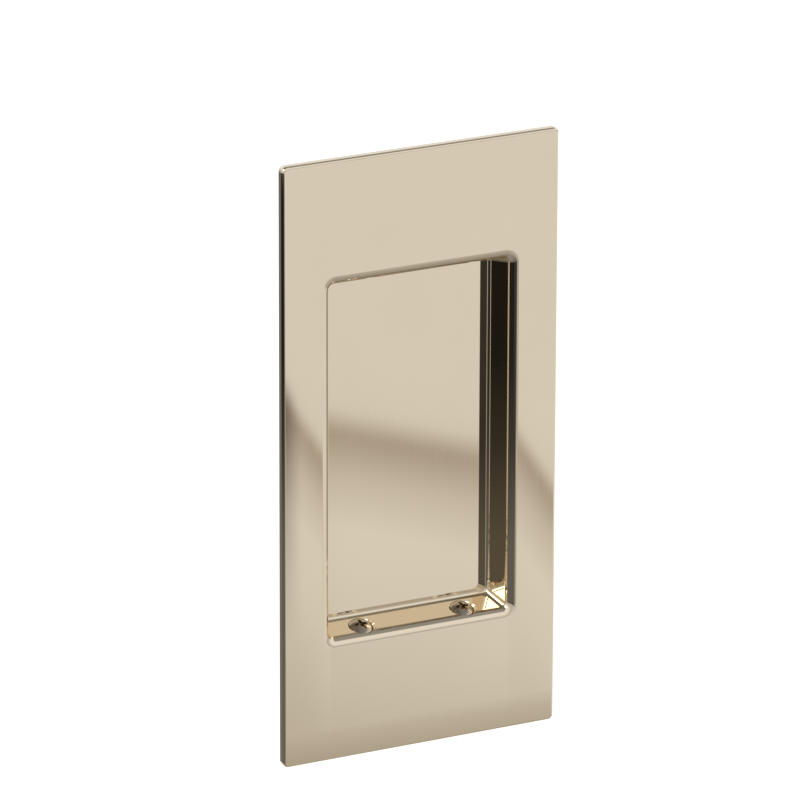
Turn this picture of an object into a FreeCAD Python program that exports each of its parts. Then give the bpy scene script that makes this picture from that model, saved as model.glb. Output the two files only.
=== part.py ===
import FreeCAD, Part
import Sketcher
import os

# A flush pull for a sliding pocket door: one cast brass piece, a flat rectangular plate with a drafted
# finger recess, held by four oval-head wood screws that slant through the recess's end walls.
# Millimetres. X is across the door, +Z is up and the plate faces -Y. The origin is the middle of the
# plate's back, the plane that lies on the door; the cup behind it goes into a mortise.
SIZES = (
    ("plate_width", "60"),
    ("plate_height", "124"),
    ("plate_thickness", "1.6"),
    ("plate_corner_radius", "1.2"),
    ("plate_edge_radius", "0.6"),
    ("opening_width", "39.4"),
    ("opening_height", "73.6"),
    ("opening_corner_radius", "1.2"),
    ("opening_edge_radius", "2"),
    ("recess_depth", "7.2"),
    ("side_draft", "8"),
    ("end_draft", "11"),
    ("panel_edge_radius", "0.8"),
    ("side_wall", "2.2"),
    ("end_wall", "4"),
    ("back_wall", "2.2"),
    ("cup_edge_radius", "1"),
    ("screw_spacing", "22.3"),
    ("screw_tilt", "20"),
    ("head_diameter", "4.7"),
    ("head_rise", "0.7"),
    ("head_land", "0.1"),
    ("head_sink", "0.4"),
    ("head_to_panel", "0.72"),
    ("countersink_angle", "90"),
    ("seat_gap", "0.02"),
    ("shank_diameter", "2.3"),
    ("thread_diameter", "2.9"),
    ("thread_clearance", "0.2"),
    ("thread_past_wall", "1"),
    ("thread_length", "9"),
    ("point_length", "3.5"),
    ("drive_span", "2.6"),
    ("drive_floor_span", "1"),
    ("drive_slot", "0.7"),
    ("drive_depth", "1.2"),
)

# Sizes that follow from the ones above, as expressions on the sheet.
CUP_DEPTH = "(sizes.recess_depth - sizes.plate_thickness + sizes.back_wall)"
SIDE_AT_PLATE_BACK = "(sizes.plate_thickness * tan(sizes.side_draft))"
END_AT_PLATE_BACK = "(sizes.plate_thickness * tan(sizes.end_draft))"
CUP_WIDTH = f"(sizes.opening_width + 2 * (sizes.side_wall - {SIDE_AT_PLATE_BACK}))"
CUP_HEIGHT = f"(sizes.opening_height + 2 * (sizes.end_wall - {END_AT_PLATE_BACK}))"

HEAD_RADIUS = "(sizes.head_diameter / 2)"
HOLE_RADIUS = "(sizes.thread_diameter / 2 + sizes.thread_clearance)"
SHANK_RADIUS = "(sizes.shank_diameter / 2)"
THREAD_RADIUS = "(sizes.thread_diameter / 2)"
CONE_SLOPE = "tan(sizes.countersink_angle / 2)"
SEAT_RADIUS = f"({HEAD_RADIUS} + sizes.head_sink * {CONE_SLOPE})"

# The middle of a lower screw seat, a cone that flares up to the sloping floor: its rear edge clears the
# recess's back panel, and the head's rim sits below the floor.
SEAT_Y = (
    "(sizes.recess_depth - sizes.plate_thickness - sizes.head_to_panel"
    f" - {SEAT_RADIUS} * cos(sizes.screw_tilt))"
)
FLOOR_RISE = f"(({SEAT_Y} + sizes.plate_thickness) * tan(sizes.end_draft))"
SEAT_Z = f"({FLOOR_RISE} - sizes.opening_height / 2 - sizes.head_sink)"

# Along a screw: the hole's slant through the end wall, how far the cone flares above the head's rim to
# clear the floor, and where the thread starts beyond the wall.
SLANT = "(sizes.screw_tilt - sizes.end_draft)"
FLARE = f"(sizes.head_sink + sizes.head_diameter * tan({SLANT}))"
THREAD_START = (
    f"(sizes.end_wall / cos({SLANT}) + {HOLE_RADIUS} * tan({SLANT}) + sizes.thread_past_wall)"
)
HEAD_DEPTH = f"(({HEAD_RADIUS} - {SHANK_RADIUS}) / {CONE_SLOPE})"
THREAD_RUN_OUT = f"({THREAD_RADIUS} - {SHANK_RADIUS})"
THREAD_END = f"({THREAD_START} + {THREAD_RUN_OUT} + sizes.thread_length)"
HEAD_TOP = "(sizes.head_land + sizes.head_rise)"

TOUCH = 1e-6


def fill_sheet(doc):
    sheet = doc.addObject("Spreadsheet::Sheet", "sizes")
    for row, (name, value) in enumerate(SIZES, start=1):
        sheet.set(f"A{row}", name)
        sheet.set(f"B{row}", value)
        sheet.setAlias(f"B{row}", name)
    doc.recompute()
    return sheet


def new_body(doc, label):
    body = doc.addObject("PartDesign::Body", label)
    body.Label = label
    return body


def bind(thing, expressions):
    for path, expression in expressions.items():
        thing.setExpression(path, expression)


def origin_planes(body):
    return {feature.Role: feature for feature in body.Origin.OriginFeatures}


def new_sketch(body, name, plane, offset=None):
    """A sketch on one of the body's own planes, set off from it by the bound offset."""
    sketch = body.newObject("Sketcher::SketchObject", name)
    sketch.AttachmentSupport = [(origin_planes(body)[plane], "")]
    sketch.MapMode = "FlatFace"
    bind(sketch, {f"AttachmentOffset.{path}": value for path, value in (offset or {}).items()})
    return sketch


def hold(sketch, kind, *where, size):
    """A dimension of the sketch, bound to an expression."""
    index = sketch.addConstraint(Sketcher.Constraint(kind, *where, sketch.evalExpression(size)))
    sketch.setExpression(f"Constraints[{index}]", size)


def centred_rectangle(sketch, width, height):
    half_width = sketch.evalExpression(width) / 2
    half_height = sketch.evalExpression(height) / 2
    corners = [
        FreeCAD.Vector(across * half_width, up * half_height, 0)
        for across, up in ((-1, -1), (1, -1), (1, 1), (-1, 1))
    ]
    for start, end in zip(corners, corners[1:] + corners[:1]):
        sketch.addGeometry(Part.LineSegment(start, end))
    for side in range(4):
        sketch.addConstraint(Sketcher.Constraint("Coincident", side, 2, (side + 1) % 4, 1))
        sketch.addConstraint(Sketcher.Constraint("Vertical" if side % 2 else "Horizontal", side))
    sketch.addConstraint(Sketcher.Constraint("Symmetric", 0, 1, 2, 1, -1, 1))
    hold(sketch, "DistanceX", 0, 1, 0, 2, size=width)
    hold(sketch, "DistanceY", 1, 1, 1, 2, size=height)


def chain(sketch, corners):
    """Straight sides from corner to corner, each corner held to its pair of expressions."""
    spots = [
        FreeCAD.Vector(sketch.evalExpression(across), sketch.evalExpression(up), 0)
        for across, up in corners
    ]
    for start, end in zip(spots, spots[1:]):
        sketch.addGeometry(Part.LineSegment(start, end))
    last_side = len(spots) - 2
    for side in range(last_side):
        sketch.addConstraint(Sketcher.Constraint("Coincident", side, 2, side + 1, 1))
    for index, (across, up) in enumerate(corners):
        end = (index, 1) if index <= last_side else (last_side, 2)
        for kind, axis, size in (("DistanceX", -2, across), ("DistanceY", -1, up)):
            if size == "0":
                sketch.addConstraint(Sketcher.Constraint("PointOnObject", *end, axis))
            else:
                hold(sketch, kind, -1, 1, *end, size=size)
    return last_side


def close_chain(sketch, last_side):
    """The straight side that brings a chain back to its first corner."""
    start = sketch.getPoint(last_side, 2)
    side = sketch.addGeometry(Part.LineSegment(start, sketch.getPoint(0, 1)))
    sketch.addConstraint(Sketcher.Constraint("Coincident", last_side, 2, side, 1))
    sketch.addConstraint(Sketcher.Constraint("Coincident", side, 2, 0, 1))


def raise_from(body, kind, sketch, expressions, **settings):
    """A feature of the body made from a sketch, with its sizes bound."""
    feature = body.newObject(f"PartDesign::{kind}", f"{sketch.Name}_{kind.lower()}")
    feature.Profile = sketch
    for name, value in settings.items():
        setattr(feature, name, value)
    bind(feature, expressions)
    body.Document.recompute()
    return feature


def near(first, second):
    return abs(first - second) < TOUCH


def edges_where(feature, test):
    return [f"Edge{n}" for n, edge in enumerate(feature.Shape.Edges, start=1) if test(edge)]


def drafted_block(body, kind, name, width, height, start, end):
    """A block through the door whose four sides close in by their drafts, added to or cut from the body."""
    block = body.newObject(f"PartDesign::{kind}Wedge", name)
    bind(block, {"Ymin": start, "Ymax": end})
    for axis, size, draft in (("X", width, "side_draft"), ("Z", height, "end_draft")):
        narrowing = f"(({end}) - ({start})) * tan(sizes.{draft})"
        bind(
            block,
            {
                f"{axis}min": f"-({size}) / 2",
                f"{axis}max": f"({size}) / 2",
                f"{axis}2min": f"{narrowing} - ({size}) / 2",
                f"{axis}2max": f"({size}) / 2 - {narrowing}",
            },
        )
    body.Document.recompute()
    return block


def round_edges(body, name, test, radius):
    """A fillet on the edges of the body so far that pass the test."""
    base = body.Tip
    fillet = body.newObject("PartDesign::Fillet", name)
    fillet.Base = (base, edges_where(base, test))
    bind(fillet, {"Radius": radius})
    body.Document.recompute()
    return fillet


def reach(edge):
    """How far an edge runs through the door."""
    return edge.BoundBox.YLength


def lies_at(edge, depth):
    return near(edge.BoundBox.YMin, depth) and near(edge.BoundBox.YMax, depth)


def near_outline(edge, sheet):
    """Whether an edge runs nearer to the plate's outline than to the opening."""
    box = edge.BoundBox
    across = max(abs(box.XMin), abs(box.XMax))
    up = max(abs(box.ZMin), abs(box.ZMax))
    middle_across = (sheet.plate_width + sheet.opening_width) / 4
    middle_up = (sheet.plate_height + sheet.opening_height) / 4
    return across > middle_across or up > middle_up


def make_pull_body(doc, sheet):
    """The casting: plate, cup and drafted recess, then its rounded edges and the four screw seats."""
    body = new_body(doc, "pull_body")
    front = -sheet.plate_thickness
    panel = front + sheet.recess_depth
    cup_back = panel + sheet.back_wall

    plate_outline = new_sketch(body, "plate", "XZ_Plane")
    centred_rectangle(plate_outline, "sizes.plate_width", "sizes.plate_height")
    raise_from(body, "Pad", plate_outline, {"Length": "sizes.plate_thickness"})
    round_edges(
        body,
        "plate_corners",
        lambda edge: near(reach(edge), -front),
        "sizes.plate_corner_radius",
    )

    drafted_block(body, "Additive", "cup", CUP_WIDTH, CUP_HEIGHT, "0", CUP_DEPTH)
    round_edges(body, "cup_corners", lambda edge: near(reach(edge), cup_back), "sizes.cup_edge_radius")
    round_edges(body, "cup_back_edge", lambda edge: lies_at(edge, cup_back), "sizes.cup_edge_radius")

    drafted_block(
        body,
        "Subtractive",
        "recess",
        "sizes.opening_width",
        "sizes.opening_height",
        "-sizes.plate_thickness",
        "sizes.recess_depth - sizes.plate_thickness",
    )
    round_edges(
        body,
        "recess_corners",
        lambda edge: near(reach(edge), panel - front),
        "sizes.opening_corner_radius",
    )
    round_edges(body, "panel_edge", lambda edge: lies_at(edge, panel), "sizes.panel_edge_radius")
    round_edges(
        body,
        "opening_edge",
        lambda edge: lies_at(edge, front) and not near_outline(edge, sheet),
        "sizes.opening_edge_radius",
    )
    rounded = round_edges(
        body,
        "plate_edge",
        lambda edge: lies_at(edge, front) and near_outline(edge, sheet),
        "sizes.plate_edge_radius",
    )

    seat_outline = new_sketch(
        body,
        "screw_seat",
        "YZ_Plane",
        {
            "Base.x": SEAT_Y,
            "Base.y": SEAT_Z,
            "Base.z": "sizes.screw_spacing / 2",
            "Rotation.Angle": "sizes.screw_tilt",
        },
    )
    through = "sizes.end_wall + sizes.head_diameter"
    last_side = chain(
        seat_outline,
        (
            ("0", FLARE),
            (f"({HEAD_RADIUS} + {FLARE} * {CONE_SLOPE})", FLARE),
            (HOLE_RADIUS, f"-({HEAD_RADIUS} - {HOLE_RADIUS}) / {CONE_SLOPE}"),
            (HOLE_RADIUS, f"-({through})"),
            ("0", f"-({through})"),
        ),
    )
    close_chain(seat_outline, last_side)
    seat = raise_from(
        body, "Groove", seat_outline, {}, ReferenceAxis=(seat_outline, ["V_Axis"]), Angle=360
    )

    seats = body.newObject("PartDesign::MultiTransform", "four_seats")
    seats.Originals = [seat]
    mirrors = []
    for plane in ("YZ_Plane", "XY_Plane"):
        mirror = body.newObject("PartDesign::Mirrored", f"seats_over_{plane[:2]}")
        mirror.MirrorPlane = (origin_planes(body)[plane], [""])
        mirrors.append(mirror)
    seats.Transformations = mirrors
    body.Tip = seats
    doc.recompute()
    if not seats.Shape.Volume < seat.Shape.Volume < rounded.Shape.Volume:
        raise RuntimeError("the screw seats cut nothing away")
    return body


def make_screw(doc):
    """One oval-head wood screw on its own Z axis, its head's rim at the origin and its point down."""
    body = new_body(doc, "screw")
    outline = new_sketch(body, "turned", "XZ_Plane")
    last_side = chain(
        outline,
        (
            (HEAD_RADIUS, "sizes.head_land"),
            (HEAD_RADIUS, "0"),
            (SHANK_RADIUS, f"-{HEAD_DEPTH}"),
            (SHANK_RADIUS, f"-{THREAD_START}"),
            (THREAD_RADIUS, f"-({THREAD_START} + {THREAD_RUN_OUT})"),
            (THREAD_RADIUS, f"-{THREAD_END}"),
            ("0", f"-({THREAD_END} + sizes.point_length)"),
            ("0", HEAD_TOP),
        ),
    )
    rim = outline.getPoint(0, 1)
    crown = outline.getPoint(last_side, 2)
    rise = crown.y - rim.y
    dome_radius = (rim.x**2 + rise**2) / (2 * rise)
    middle = FreeCAD.Vector(0, crown.y - dome_radius, 0)
    circle = Part.Circle(middle, FreeCAD.Vector(0, 0, 1), dome_radius)
    dome = outline.addGeometry(Part.ArcOfCircle(circle, circle.parameter(rim), circle.parameter(crown)))
    outline.addConstraint(Sketcher.Constraint("Coincident", dome, 1, 0, 1))
    outline.addConstraint(Sketcher.Constraint("Coincident", dome, 2, last_side, 2))
    outline.addConstraint(Sketcher.Constraint("PointOnObject", dome, 3, -2))
    raise_from(body, "Revolution", outline, {}, ReferenceAxis=(outline, ["V_Axis"]), Angle=360)

    wing = new_sketch(body, "drive_wing", "XZ_Plane")
    floor = f"({HEAD_TOP} - sizes.drive_depth)"
    mouth = f"({HEAD_TOP} + sizes.head_rise)"
    last_side = chain(
        wing,
        (
            ("-sizes.drive_span / 2", mouth),
            ("-sizes.drive_span / 2", "sizes.head_land"),
            ("-sizes.drive_floor_span / 2", floor),
            ("sizes.drive_floor_span / 2", floor),
            ("sizes.drive_span / 2", "sizes.head_land"),
            ("sizes.drive_span / 2", mouth),
        ),
    )
    close_chain(wing, last_side)
    slot = raise_from(body, "Pocket", wing, {"Length": "sizes.drive_slot"}, Midplane=True)
    cross = body.newObject("PartDesign::PolarPattern", "drive_cross")
    cross.Originals = [slot]
    cross.Axis = (origin_planes(body)["Z_Axis"], [""])
    cross.Angle = 90
    cross.Occurrences = 2
    body.Tip = cross

    body.Placement = FreeCAD.Placement(FreeCAD.Vector(), FreeCAD.Rotation(FreeCAD.Vector(1, 0, 0), 1))
    bind(
        body,
        {
            "Placement.Base.x": "sizes.screw_spacing / 2",
            "Placement.Base.y": f"{SEAT_Y} - sizes.seat_gap * sin(sizes.screw_tilt)",
            "Placement.Base.z": f"{SEAT_Z} + sizes.seat_gap * cos(sizes.screw_tilt)",
            "Placement.Rotation.Angle": "sizes.screw_tilt",
        },
    )
    doc.recompute()
    return body


def mirrored(doc, name, source, normal):
    copy = doc.addObject("Part::Mirroring", name)
    copy.Source = source
    copy.Normal = normal
    return copy


def make_mounting_screws(doc):
    """The four screws: one in its seat, and its mirror images across and up the plate."""
    lower_right = make_screw(doc)
    lower_left = mirrored(doc, "lower_left_screw", lower_right, FreeCAD.Vector(1, 0, 0))
    upper = [
        mirrored(doc, f"screw_above_{screw.Name}", screw, FreeCAD.Vector(0, 0, 1))
        for screw in (lower_right, lower_left)
    ]
    screws = doc.addObject("Part::Compound", "mounting_screws")
    screws.Label = "mounting_screws"
    screws.Links = [lower_right, lower_left] + upper
    doc.recompute()
    return screws


def check(doc, nodes):
    for thing in doc.Objects:
        if "Invalid" in thing.State or "Error" in thing.State:
            raise RuntimeError(f"{thing.Label} did not build: {thing.State}")
    for node in nodes:
        if node.Shape.isNull() or not node.Shape.isValid():
            raise RuntimeError(f"{node.Label} has no valid shape")


def main():
    doc = FreeCAD.newDocument("pocket_door_pull")
    sheet = fill_sheet(doc)
    nodes = [make_pull_body(doc, sheet), make_mounting_screws(doc)]
    check(doc, nodes)
    os.makedirs("parts", exist_ok=True)
    for node in nodes:
        node.Shape.exportStep(f"parts/{node.Label}.step")
        print(f"{node.Label}: {len(node.Shape.Solids)} solids, {node.Shape.Volume:.2f} cubic mm")


main()
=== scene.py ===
import math

import bmesh
import bpy
from mathutils import Matrix, Vector


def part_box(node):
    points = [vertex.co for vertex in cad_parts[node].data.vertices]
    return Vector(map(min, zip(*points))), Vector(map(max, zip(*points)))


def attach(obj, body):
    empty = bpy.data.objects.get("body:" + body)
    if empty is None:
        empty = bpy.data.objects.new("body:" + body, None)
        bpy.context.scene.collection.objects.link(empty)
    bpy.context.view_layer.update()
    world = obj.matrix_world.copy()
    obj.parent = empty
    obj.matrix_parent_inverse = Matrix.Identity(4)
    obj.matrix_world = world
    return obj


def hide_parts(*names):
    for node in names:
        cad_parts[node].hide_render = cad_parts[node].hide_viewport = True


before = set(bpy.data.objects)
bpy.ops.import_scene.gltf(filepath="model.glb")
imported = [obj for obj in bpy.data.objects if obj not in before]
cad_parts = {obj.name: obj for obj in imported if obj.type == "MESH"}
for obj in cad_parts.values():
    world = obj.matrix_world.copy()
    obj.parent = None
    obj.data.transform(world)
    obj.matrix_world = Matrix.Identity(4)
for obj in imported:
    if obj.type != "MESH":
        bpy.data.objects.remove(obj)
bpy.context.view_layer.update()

# Pull body. The real one is a single brass casting: a flat face plate with a finger recess sunk in it and
# the drafted outside of that recess standing out behind, into the door. Its edges are rounded over in
# polishing, and four slanting seats are cut through the recess's end walls for the screws.
body_low, body_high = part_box("pull_body")
plate_width = body_high[0] - body_low[0]
plate_height = body_high[2] - body_low[2]
plate_front = body_low[1]
plate_back = 0.0
plate_thickness = plate_back - plate_front
cup_back = body_high[1]
back_wall = 0.0022
side_wall = 0.0022
end_wall = 0.004
panel = cup_back - back_wall
recess_depth = panel - plate_front
opening_width = 0.0394
opening_height = 0.0736
side_draft = math.radians(8)
end_draft = math.radians(11)
side_slope = math.tan(side_draft)
end_slope = math.tan(end_draft)
cup_width = opening_width + 2 * (side_wall - plate_thickness * side_slope)
cup_height = opening_height + 2 * (end_wall - plate_thickness * end_slope)
recess_corner_radius = 0.0012
panel_edge_radius = 0.0008
lip_radius = 0.002
plate_corner_radius = 0.0012
plate_edge_radius = 0.0006
cup_edge_radius = 0.001
right_angle = math.pi / 2
drafted_turn = right_angle - (side_draft + end_draft) / 2
bevel_steps = 8
same_place = 1e-6
nearly_along = 0.9
nearly_square = 0.5


def start_edit(piece):
    bpy.ops.object.select_all(action="DESELECT")
    piece.select_set(True)
    bpy.context.view_layer.objects.active = piece
    bpy.ops.object.mode_set(mode="EDIT")


def pick(piece, kind, test):
    """Selects only the faces or edges of the piece in edit mode that pass the test."""
    mesh = bmesh.from_edit_mesh(piece.data)
    bpy.ops.mesh.select_mode(type="FACE" if kind == "faces" else "EDGE")
    bpy.ops.mesh.select_all(action="DESELECT")
    for part in getattr(mesh, kind):
        if test(part):
            part.select_set(True)
    mesh.select_flush_mode()
    bmesh.update_edit_mesh(piece.data)


def flat_at(part, depth):
    return all(abs(vert.co.y - depth) < same_place for vert in part.verts)


def runs_between(edge, near_depth, far_depth):
    depths = sorted(vert.co.y for vert in edge.verts)
    return abs(depths[0] - near_depth) < same_place and abs(depths[1] - far_depth) < same_place


def on_rim(edge, depth):
    """An edge of the plate where a face at this depth turns into one that stands square to it."""
    turns = sorted(abs(face.normal.y) for face in edge.link_faces)
    return flat_at(edge, depth) and turns[0] < nearly_square and turns[-1] > nearly_along


def in_middle(edge):
    return all(abs(vert.co.x) < same_place for vert in edge.verts)


def across_corner(edge):
    """A seam that runs askew over a flat face, from a corner of the plate to a corner within it."""
    start, end = (vert.co for vert in edge.verts)
    level = abs(start.y - end.y) < same_place
    return level and abs(start.x - end.x) > same_place and abs(start.z - end.z) > same_place


def in_opening(edge):
    return all(
        abs(vert.co.x) < opening_width / 2 + same_place and abs(vert.co.z) < opening_height / 2 + same_place
        for vert in edge.verts
    )


def spare_seam(edge):
    """A seam left over from framing or halving. The plate's faces run round an opening, so theirs stay."""
    on_plate = flat_at(edge, plate_front) or flat_at(edge, plate_back)
    return across_corner(edge) or in_middle(edge) and not on_plate


def frame_in_face(width, height):
    """Insets the picked face to a centred rectangle of this width and height."""
    margin = (plate_width - width) / 2
    bpy.ops.mesh.inset(thickness=margin)
    bpy.ops.transform.resize(
        value=(width / (plate_width - 2 * margin), 1, height / (plate_height - 2 * margin)),
        center_override=(0, 0, 0),
    )


def push_drafted(width, height, distance):
    """Extrudes the picked face through the door and closes it in by the drafts."""
    bpy.ops.mesh.extrude_region_move(TRANSFORM_OT_translate={"value": (0, distance, 0)})
    narrowed = 1 - 2 * distance * side_slope / width
    lowered = 1 - 2 * distance * end_slope / height
    bpy.ops.transform.resize(value=(narrowed, 1, lowered), center_override=(0, 0, 0))


def round_over(piece, test, radius, turn=right_angle):
    """Rounds the edges that pass the test, where the surface turns by this angle."""
    pick(piece, "edges", test)
    bpy.ops.mesh.bevel(
        offset=radius * math.tan(turn / 2),
        segments=bevel_steps,
        profile=0.5,
        affect="EDGES",
        clamp_overlap=False,
    )


bpy.ops.object.select_all(action="DESELECT")
bpy.ops.mesh.primitive_cube_add(size=1, location=(0, (plate_front + plate_back) / 2, 0))
casting = bpy.context.object
casting.name = "pull_casting"
casting.scale = (plate_width, plate_thickness, plate_height)
bpy.ops.object.transform_apply(location=True, rotation=False, scale=True)

start_edit(casting)
pick(casting, "faces", lambda face: flat_at(face, plate_front))
frame_in_face(opening_width, opening_height)
push_drafted(opening_width, opening_height, recess_depth)
pick(casting, "faces", lambda face: flat_at(face, plate_back))
frame_in_face(cup_width, cup_height)
push_drafted(cup_width, cup_height, cup_back - plate_back)

bpy.ops.mesh.select_all(action="SELECT")
bpy.ops.mesh.bisect(plane_co=(0, 0, 0), plane_no=(1, 0, 0))
pick(casting, "edges", spare_seam)
bpy.ops.mesh.dissolve_edges(use_verts=True)

round_over(casting, lambda edge: runs_between(edge, plate_front, panel), recess_corner_radius)
round_over(casting, lambda edge: flat_at(edge, panel), panel_edge_radius, drafted_turn)
round_over(casting, lambda edge: flat_at(edge, plate_front) and in_opening(edge), lip_radius, drafted_turn)
round_over(casting, lambda edge: runs_between(edge, plate_front, plate_back), plate_corner_radius)
round_over(casting, lambda edge: on_rim(edge, plate_front) and not in_opening(edge), plate_edge_radius)
round_over(casting, lambda edge: runs_between(edge, plate_back, cup_back), cup_edge_radius)
round_over(casting, lambda edge: flat_at(edge, cup_back), cup_edge_radius, drafted_turn)
bpy.ops.object.mode_set(mode="OBJECT")
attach(casting, "root")
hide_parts("pull_body")

# Screw seats. Each is drilled slanting back through an end wall of the recess, so that a driver reaches it
# from the front: a clear hole for the thread, and a cone for the underside of the head that flares up to the
# sloping wall.
screw_tilt = math.radians(20)
screw_spacing = 0.0223
head_radius = 0.00235
head_sink = 0.0004
head_to_panel = 0.00072
thread_radius = 0.00145
thread_clearance = 0.0002
hole_radius = thread_radius + thread_clearance
seat_y = panel - head_to_panel - (head_radius + head_sink) * math.cos(screw_tilt)
seat_z = (seat_y - plate_front) * end_slope - opening_height / 2 - head_sink
screw_slant = screw_tilt - end_draft
cone_reach = head_sink + 2 * head_radius * math.tan(screw_slant)
cone_top = head_radius + cone_reach
hole_reach = end_wall + 2 * head_radius
seat_sides = 96
casting_smooth_angle = math.radians(30)
flat_area = 0.00004
faces_front = 0.999999


def seat_places():
    """Turns and moves a thing that stands at the origin along Z into each of the four seats."""
    lower = Matrix.Rotation(screw_tilt, 4, "X")
    for across in (-1, 1):
        place = Matrix.Translation((across * screw_spacing / 2, seat_y, seat_z)) @ lower
        yield place
        yield Matrix.Rotation(math.pi, 4, "Y") @ place


def cut_out(piece, cutter):
    """Cuts the cutter's shape out of the piece, leaves the piece selected and removes the cutter."""
    cut = piece.modifiers.new("cut", "BOOLEAN")
    cut.object = cutter
    cut.operation = "DIFFERENCE"
    cut.solver = "EXACT"
    bpy.ops.object.select_all(action="DESELECT")
    bpy.context.view_layer.objects.active = piece
    piece.select_set(True)
    bpy.ops.object.modifier_apply(modifier=cut.name)
    bpy.data.objects.remove(cutter)


bpy.ops.object.select_all(action="DESELECT")
bpy.ops.mesh.primitive_cylinder_add(
    vertices=seat_sides, radius=hole_radius, depth=hole_reach, location=(0, 0, -hole_reach / 2)
)
seat_cutter = bpy.context.object
bpy.ops.object.transform_apply(location=True, rotation=False, scale=False)
start_edit(seat_cutter)
pick(seat_cutter, "faces", lambda face: face.normal.z > nearly_along)
bpy.ops.transform.translate(value=(0, 0, hole_radius - head_radius))
bpy.ops.mesh.extrude_region_move(TRANSFORM_OT_translate={"value": (0, 0, cone_top - hole_radius)})
bpy.ops.transform.resize(value=(cone_top / hole_radius, cone_top / hole_radius, 1))
bpy.ops.object.mode_set(mode="OBJECT")
for place in seat_places():
    cutter = seat_cutter.copy()
    cutter.data = seat_cutter.data.copy()
    cutter.data.transform(place)
    bpy.context.scene.collection.objects.link(cutter)
    cut_out(casting, cutter)
bpy.data.objects.remove(seat_cutter)

bpy.ops.object.shade_smooth_by_angle(angle=casting_smooth_angle)
start_edit(casting)
bpy.ops.mesh.select_all(action="SELECT")
bpy.ops.mesh.mod_weighted_strength(set=True, face_strength="WEAK")
pick(casting, "faces", lambda face: abs(face.normal.y) > faces_front or face.calc_area() > flat_area)
bpy.ops.mesh.mod_weighted_strength(set=True, face_strength="STRONG")
bpy.ops.object.mode_set(mode="OBJECT")
even = casting.modifiers.new("even_shading", "WEIGHTED_NORMAL")
even.use_face_influence = True
even.keep_sharp = True
bpy.ops.object.modifier_apply(modifier=even.name)

# Nickel finish. Bright nickel plate over hand-polished brass: a warm mirror with fine up-and-down polishing
# marks. The wheel has left the side strips very slightly crowned, the left one leaning a little, and the
# plate's two ends rolled over, which bends what the mirror shows.
nickel_dark = (0.755, 0.655, 0.505, 1.0)
nickel_light = (0.785, 0.685, 0.535, 1.0)
nickel_cloud_scale = 60.0
polish_stroke_scale = (2500.0, 2500.0, 60.0)
polish_roughness = (0.015, 0.032)
strip_width = (plate_width - opening_width) / 2
strip_middle = opening_width / 2 + strip_width / 2
crown_slope = math.radians(0.65)
crown_bend = crown_slope / strip_width
left_lean = math.radians(0.27)
roll_width = 0.0068
roll_slope = math.radians(0.8)
roll_bend = roll_slope / (2 * roll_width)


def new_finish(name):
    """A material with nodes, together with its node tree and its shader."""
    material = bpy.data.materials.new(name)
    material.use_nodes = True
    return material, material.node_tree, material.node_tree.nodes["Principled BSDF"]


def add_node(tree, kind, inputs, **settings):
    """A node with its settings, and its inputs set to values or linked to other nodes' outputs."""
    node = tree.nodes.new(kind)
    for name, value in settings.items():
        setattr(node, name, value)
    for name, value in inputs.items():
        if isinstance(value, bpy.types.NodeSocket):
            tree.links.new(value, node.inputs[name])
        else:
            node.inputs[name].default_value = value
    return node


def reckon(tree, operation, *values):
    """The result of an operation on numbers and other nodes' outputs."""
    return add_node(tree, "ShaderNodeMath", dict(enumerate(values)), operation=operation).outputs[0]


def mapped(tree, value, span, results, curve="LINEAR"):
    """Maps a value's span, from its start to its end, onto the first and the last result."""
    inputs = {"Value": value, "From Min": span[0], "From Max": span[1]}
    inputs.update({"To Min": results[0], "To Max": results[1]})
    return add_node(tree, "ShaderNodeMapRange", inputs, interpolation_type=curve).outputs["Result"]


def blended(tree, blend, factor, first, second):
    """The first colour with the second one blended over it by the factor."""
    inputs = {0: factor, 6: first, 7: second}
    return add_node(tree, "ShaderNodeMix", inputs, data_type="RGBA", blend_type=blend).outputs[2]


nickel, tree, shader = new_finish("polished_nickel")
shader.inputs["Metallic"].default_value = 1.0
spot = add_node(tree, "ShaderNodeTexCoord", {}).outputs["Object"]
cloud = add_node(tree, "ShaderNodeTexNoise", {"Vector": spot, "Scale": nickel_cloud_scale, "Detail": 3.0})
tint = blended(tree, "MIX", cloud.outputs["Fac"], nickel_dark, nickel_light)
tree.links.new(tint, shader.inputs["Base Color"])

strokes = add_node(tree, "ShaderNodeMapping", {"Vector": spot, "Scale": polish_stroke_scale})
marks = add_node(
    tree, "ShaderNodeTexNoise", {"Vector": strokes.outputs["Vector"], "Scale": 1.0, "Detail": 2.0}
)
gloss = mapped(tree, marks.outputs["Fac"], (0, 1), polish_roughness)
tree.links.new(gloss, shader.inputs["Roughness"])

sides = add_node(tree, "ShaderNodeSeparateXYZ", {"Vector": spot}).outputs
from_middle = reckon(tree, "SUBTRACT", reckon(tree, "ABSOLUTE", sides["X"]), strip_middle)
on_strip = reckon(tree, "MAXIMUM", from_middle, -strip_width / 2)
crown = reckon(tree, "MULTIPLY", reckon(tree, "MULTIPLY", on_strip, on_strip), -crown_bend)
on_left = reckon(tree, "MAXIMUM", reckon(tree, "SUBTRACT", -opening_width / 2, sides["X"]), 0.0)
lean = reckon(tree, "MULTIPLY", on_left, math.tan(left_lean))
from_centre = reckon(tree, "ABSOLUTE", sides["Z"])
fade_span = (opening_height / 2 - strip_width / 2, plate_height / 2)
beside_recess = mapped(tree, from_centre, fade_span, (1.0, 0.0), "SMOOTHSTEP")
strip_wave = reckon(tree, "MULTIPLY", reckon(tree, "ADD", crown, lean), beside_recess)
past_flat = reckon(tree, "SUBTRACT", from_centre, plate_height / 2 - roll_width)
on_end = reckon(tree, "MAXIMUM", past_flat, 0.0)
end_roll = reckon(tree, "MULTIPLY", reckon(tree, "MULTIPLY", on_end, on_end), -roll_bend)
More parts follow.
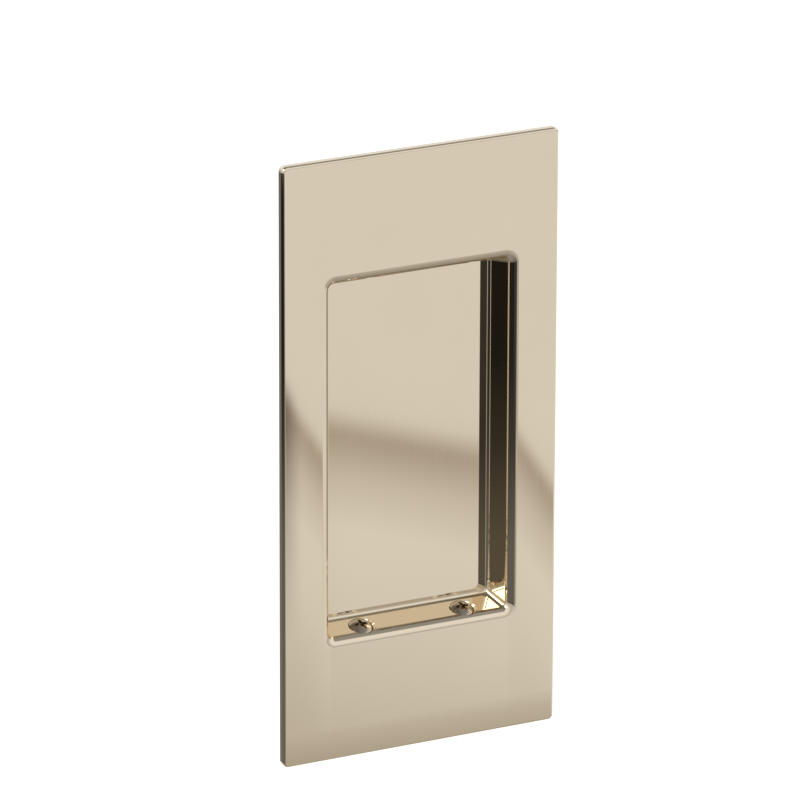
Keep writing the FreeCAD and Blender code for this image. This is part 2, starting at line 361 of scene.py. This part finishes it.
wave = reckon(tree, "ADD", strip_wave, end_roll)
bump = add_node(tree, "ShaderNodeBump", {"Height": wave, "Strength": 1.0, "Distance": 1.0})
tree.links.new(bump.outputs["Normal"], shader.inputs["Normal"])
casting.data.materials.clear()
casting.data.materials.append(nickel)

# Wood screws. Steel blanks with an oval head, a cross struck into it and a sharp right-hand thread rolled
# below a plain shank; nickel plated to go with the pull. They slant through the recess's end walls.
head_rise = 0.0007
head_land = 0.0001
head_top = head_land + head_rise
shank_radius = 0.00115
root_radius = 0.00095
thread_past_wall = 0.001
thread_length = 0.009
thread_pitch = 0.0012
ridge_share = 0.55
point_length = 0.0035
wall_reach = end_wall / math.cos(screw_slant) + hole_radius * math.tan(screw_slant)
thread_start = wall_reach + thread_past_wall
thread_end = thread_start + thread_radius - shank_radius + thread_length
point_end = thread_end + point_length
seat_gap = 0.00002
rings_per_turn = 16
dome_rings = 10
screw_sides = 48
merge_distance = 1e-7
dome_radius = (head_radius**2 + head_rise**2) / (2 * head_rise)
dome_middle = head_top - dome_radius
dome_angle = math.asin(head_radius / dome_radius)
outline = []
for step in range(dome_rings + 1):
    angle = dome_angle * step / dome_rings
    outline.append((dome_radius * math.sin(angle), dome_middle + dome_radius * math.cos(angle)))
outline.append((head_radius, 0))
outline.append((shank_radius, shank_radius - head_radius))
ring_gap = thread_pitch / rings_per_turn
ring_count = int((point_end - thread_start) / ring_gap)
for step in range(ring_count):
    outline.append((shank_radius, -thread_start - step * ring_gap))
outline.append((0, -point_end))

# The outline is spun into a plain blank, and the thread is then pushed out of it turn by turn.
bpy.ops.object.select_all(action="DESELECT")
blank = bpy.data.meshes.new("screw")
blank.from_pydata(
    [(across, 0, up) for across, up in outline], [(n, n + 1) for n in range(len(outline) - 1)], []
)
screw = bpy.data.objects.new("screw", blank)
bpy.context.scene.collection.objects.link(screw)
start_edit(screw)
bpy.ops.mesh.select_all(action="SELECT")
bpy.ops.mesh.spin(steps=screw_sides, angle=2 * math.pi, center=(0, 0, 0), axis=(0, 0, 1))
bpy.ops.mesh.select_all(action="SELECT")
bpy.ops.mesh.remove_doubles(threshold=merge_distance)
bpy.ops.mesh.normals_make_consistent(inside=False)
bpy.ops.object.mode_set(mode="OBJECT")
for vert in blank.vertices:
    depth = -vert.co.z - thread_start
    radius = math.hypot(vert.co.x, vert.co.y)
    if depth < 0 or radius == 0:
        continue
    turn_share = math.atan2(vert.co.y, vert.co.x) / (2 * math.pi)
    phase = (vert.co.z / thread_pitch - turn_share) % 1
    ridge = max(0, 1 - abs(2 * phase - 1) / ridge_share)
    run_in = min(1, depth / thread_pitch)
    root = shank_radius + (root_radius - shank_radius) * run_in
    crest = root + (thread_radius - root) * ridge * run_in
    taper = min(1, (point_end + vert.co.z) / (point_end - thread_end))
    vert.co.x *= crest * taper / radius
    vert.co.y *= crest * taper / radius

# The cross is struck by two wings at right angles, which narrow towards their tips.
drive_span = 0.0026
drive_tip_span = 0.001
drive_slot = 0.0007
drive_tip_share = 0.8
drive_depth = 0.0012
wing_middle = head_land / 2 + head_top / 2
wing_low = wing_middle - head_rise
screw_smooth_angle = math.radians(35)
for wing_turn in (0, right_angle):
    bpy.ops.object.select_all(action="DESELECT")
    bpy.ops.mesh.primitive_cube_add(size=1, location=(0, 0, wing_middle))
    wing = bpy.context.object
    wing.scale = (drive_span, drive_slot, 2 * head_rise)
    bpy.ops.object.transform_apply(location=True, rotation=False, scale=True)
    start_edit(wing)
    pick(wing, "faces", lambda face: face.normal.z < -nearly_along)
    tip_drop = head_top - drive_depth - wing_low
    bpy.ops.mesh.extrude_region_move(TRANSFORM_OT_translate={"value": (0, 0, tip_drop)})
    bpy.ops.transform.resize(value=(drive_tip_span / drive_span, drive_tip_share, 1))
    bpy.ops.object.mode_set(mode="OBJECT")
    wing.data.transform(Matrix.Rotation(wing_turn, 4, "Z"))
    cut_out(screw, wing)
bpy.ops.object.shade_smooth_by_angle(angle=screw_smooth_angle)

# The screws' tint is set darker than nickel plating is. Part of it is the metal's own colour, which the
# grain mixes at random. The rest is painted shade for the shadow in the seats round the sunk heads and for
# the dark recess that the heads reflect.
screw_shaded_dark = (0.46, 0.4, 0.32, 1.0)
screw_shaded_light = (0.56, 0.485, 0.39, 1.0)
screw_grain_scale = 1800.0
screw_roughness = (0.12, 0.22)
screw_pit_depth = 0.00002
screw_pit_strength = 0.15
screw_nickel, tree, shader = new_finish("screw_nickel")
shader.inputs["Metallic"].default_value = 1.0
spot = add_node(tree, "ShaderNodeTexCoord", {}).outputs["Object"]
noise = {"Vector": spot, "Scale": screw_grain_scale, "Detail": 3.0}
grain = add_node(tree, "ShaderNodeTexNoise", noise).outputs["Fac"]
tree.links.new(blended(tree, "MIX", grain, screw_shaded_dark, screw_shaded_light), shader.inputs["Base Color"])
tree.links.new(mapped(tree, grain, (0, 1), screw_roughness), shader.inputs["Roughness"])
pits = {"Height": grain, "Strength": screw_pit_strength, "Distance": screw_pit_depth}
tree.links.new(add_node(tree, "ShaderNodeBump", pits).outputs["Normal"], shader.inputs["Normal"])
screw.data.materials.append(screw_nickel)
for name, place in zip(("lower_left", "upper_right", "lower_right", "upper_left"), seat_places()):
    copy = bpy.data.objects.new(f"{name}_screw", screw.data.copy())
    bpy.context.scene.collection.objects.link(copy)
    copy.data.transform(place @ Matrix.Translation((0, 0, seat_gap)))
    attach(copy, "root")
    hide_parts("mounting_screws")
bpy.data.objects.remove(screw)

# Studio. A plain pale floor lies below the part and behind it. The mirror finish shows the rest of the room:
# a light card with a dark edge on the right, a dim side on the left, and a white backdrop behind. One
# soft lamp stands at the upper left, in front of the part.
floor_level = -0.18
floor_side = 6
floor_left = -0.15
floor_tone = (0.6, 0.6, 0.6, 1)
floor_roughness = 0.9
floor_glow = 0.73
white = (1, 1, 1, 1)
bpy.ops.object.select_all(action="DESELECT")
bpy.ops.mesh.primitive_plane_add(
    size=floor_side, location=(floor_left + floor_side / 2, plate_back + floor_side / 2, floor_level)
)
floor = bpy.context.object
floor.name = "floor"
floor_paint, tree, shader = new_finish("floor_paint")
shader.inputs["Base Color"].default_value = floor_tone
shader.inputs["Roughness"].default_value = floor_roughness
shader.inputs["Emission Color"].default_value = white
rays = add_node(tree, "ShaderNodeLightPath", {}).outputs
mirrored = reckon(tree, "ADD", rays["Is Glossy Ray"], rays["Is Transmission Ray"])
looked_at = reckon(tree, "MAXIMUM", rays["Is Camera Ray"], mirrored)
tree.links.new(reckon(tree, "MULTIPLY", looked_at, floor_glow), shader.inputs["Emission Strength"])
floor.data.materials.append(floor_paint)

scene = bpy.context.scene
world = bpy.data.worlds.new("studio")
scene.world = world
world.use_nodes = True
tree = world.node_tree
tree.nodes.clear()


def ramp(tree, value, stops):
    """A colour ramp through (place, colour) stops, with places on the value's own scale."""
    low = stops[0][0]
    high = stops[-1][0]
    node = add_node(tree, "ShaderNodeValToRGB", {"Fac": mapped(tree, value, (low, high), (0, 1))})
    elements = node.color_ramp.elements
    while len(elements) < len(stops):
        elements.new(0.5)
    for element, (place, colour) in zip(elements, stops):
        element.position = (place - low) / (high - low)
    for element, (place, colour) in zip(elements, stops):
        element.color = (*colour, 1) if isinstance(colour, tuple) else (colour, colour, colour, 1)
    return node.outputs["Color"]


# Directions of the room in degrees: rise above the horizon, and turn to the right from straight ahead.
direction = add_node(tree, "ShaderNodeTexCoord", {}).outputs["Generated"]
sides = add_node(tree, "ShaderNodeSeparateXYZ", {0: direction}).outputs
rise = reckon(tree, "MULTIPLY", reckon(tree, "ARCSINE", sides["Z"]), math.degrees(1))
toward_front = reckon(tree, "MULTIPLY", sides["Y"], -1.0)
turn = reckon(tree, "MULTIPLY", reckon(tree, "ARCTAN2", sides["X"], toward_front), math.degrees(1))

# The card on the right, with places in degrees above its slanting edge.
card_edge_rise = -19.547
card_turn = 27.0
card_tilt = 0.17
card_stops = (
    (-7.0, (0.65, 0.63, 0.59)),
    (-4.4, (0.5, 0.475, 0.43)),
    (-2.6, (0.65, 0.63, 0.59)),
    (-1.4, (0.83, 0.83, 0.83)),
    (-0.9, (0.88, 0.88, 0.88)),
    (-0.5, (0.71, 0.69, 0.67)),
    (-0.17, (0.47, 0.425, 0.37)),
    (0.0, (0.85, 0.85, 0.85)),
    (0.4, (0.86, 0.86, 0.86)),
)
tilted = reckon(tree, "MULTIPLY", reckon(tree, "ADD", turn, -card_turn), card_tilt)
above_edge = reckon(tree, "ADD", reckon(tree, "ADD", rise, -card_edge_rise), tilted)
card = ramp(tree, above_edge, card_stops)

# A screen that darkens the card just below its edge, on the card's left.
screen_turns = (25.0, 26.3)
screen_strength = 0.8
screen_top = (-0.1, 0.1)
screen_foot = (-2.0, -0.3)
screen_tint = (0.25, 0.22, 0.19, 1)
screen_left = mapped(tree, turn, screen_turns, (screen_strength, 0), "SMOOTHSTEP")
below_top = mapped(tree, above_edge, screen_top, (1, 0))
above_foot = mapped(tree, above_edge, screen_foot, (0, 1))
screen = reckon(tree, "MULTIPLY", screen_left, reckon(tree, "MULTIPLY", below_top, above_foot))
screened_card = blended(tree, "MULTIPLY", screen, card, screen_tint)

# Brightness of the right and the left of the room by rise, and of the left by turn.
right_stops = (
    (-90, 0.38),
    (-66, 0.57),
    (-40, 0.8),
    (-26, 0.95),
    (-22, 1.0),
    (-12, 1.0),
    (-6, 0.66),
    (0, 0.66),
    (7, 0.92),
    (20, 1.15),
    (38, 1.15),
    (45, 1.12),
    (50, 0.42),
    (90, 0.36),
)
left_stops = (
    (-90, 0.38),
    (-45, 0.3),
    (-22, 0.16),
    (-20.5, 0.147),
    (-20.2, 0.13),
    (-19.8, 0.068),
    (-19.4, 0.018),
    (-18.6, 0.02),
    (-17.1, 0.018),
    (-15, 0.2),
    (-11, 0.55),
    (5, 0.65),
    (25, 1.0),
    (45, 1.1),
    (50, 0.3),
    (90, 0.12),
)
left_glow_stops = ((-180, 0.0), (-46, 0.0), (-34, 0.03), (-20, 0.055), (180, 0.055))
right_begins = (-10, 12)
right_ends = (150, 180)
right_side = blended(tree, "MULTIPLY", 1.0, screened_card, ramp(tree, rise, right_stops))
left_side = blended(tree, "LIGHTEN", 1.0, ramp(tree, rise, left_stops), ramp(tree, turn, left_glow_stops))
past_left = mapped(tree, turn, right_begins, (0, 1), "SMOOTHSTEP")
before_back = mapped(tree, turn, right_ends, (1, 0))
on_right = reckon(tree, "MULTIPLY", past_left, before_back)
room = blended(tree, "MIX", on_right, left_side, right_side)

# The white backdrop behind the part, by how far a direction points that way.
backdrop_toward = (0.4257, 0.8396, -0.3373)
backdrop_stops = ((0.5, 0.0), (0.64, 0.18), (0.78, 0.5), (0.9, 1.0), (1.0, 1.0))
facing = {0: direction, 1: backdrop_toward}
behind = add_node(tree, "ShaderNodeVectorMath", facing, operation="DOT_PRODUCT").outputs["Value"]
backdrop = ramp(tree, behind, backdrop_stops)
rays = add_node(tree, "ShaderNodeLightPath", {}).outputs
mirrored = reckon(tree, "ADD", rays["Is Glossy Ray"], rays["Is Transmission Ray"])
studio = blended(tree, "LIGHTEN", reckon(tree, "MINIMUM", mirrored, 1.0), room, backdrop)
seen = blended(tree, "MIX", rays["Is Camera Ray"], studio, white)
background = add_node(tree, "ShaderNodeBackground", {"Color": seen}).outputs["Background"]
add_node(tree, "ShaderNodeOutputWorld", {"Surface": background})

key_toward = Vector((-0.64, -0.445, 0.6255))
key_distance = 1.5
key_side = 0.5
key_radiance = 5
key = bpy.data.lights.new("key_light", "AREA")
key.shape = "RECTANGLE"
key.size = key_side
key.size_y = key_side
key.energy = key_radiance * math.pi * key_side * key_side
key_lamp = bpy.data.objects.new("key_light", key)
scene.collection.objects.link(key_lamp)
key_lamp.location = key_toward * key_distance
key_lamp.rotation_euler = (-key_toward).to_track_quat("-Z", "Y").to_euler()

# Camera. It stands to the left of the part and above it, far off, with a long lens. Its angles and the
# place of the plate in the picture were solved from the plate's corners.
azimuth = math.radians(26.884)
elevation = math.radians(19.713)
camera_roll = math.radians(0.172)
camera_distance = 1.471
sensor_width = 36
nearest_seen = 0.05
farthest_seen = 50
picture_side = 800
pixels_per_metre = 5111
plate_middle_pixel = (421.1, 449.8)
toward = Vector(
    (
        -math.sin(azimuth) * math.cos(elevation),
        -math.cos(azimuth) * math.cos(elevation),
        math.sin(elevation),
    )
)
rightward = Vector((math.cos(azimuth), -math.sin(azimuth), 0))
upward = toward.cross(rightward)
plate_middle = Vector((0, plate_front, 0))
aim = (
    plate_middle
    + rightward * ((picture_side / 2 - plate_middle_pixel[0]) / pixels_per_metre)
    - upward * ((picture_side / 2 - plate_middle_pixel[1]) / pixels_per_metre)
)
camera_data = bpy.data.cameras.new("camera")
camera_data.sensor_width = sensor_width
camera_data.lens = sensor_width * pixels_per_metre * camera_distance / picture_side
camera_data.clip_start = nearest_seen
camera_data.clip_end = farthest_seen
camera = bpy.data.objects.new("camera", camera_data)
scene.collection.objects.link(camera)
camera.location = plate_middle + toward * camera_distance
looking = (aim - camera.location).to_track_quat("-Z", "Y").to_matrix().to_4x4()
camera.rotation_euler = (looking @ Matrix.Rotation(camera_roll, 4, "Z")).to_euler()
scene.camera = camera
scene.view_settings.view_transform = "Standard"
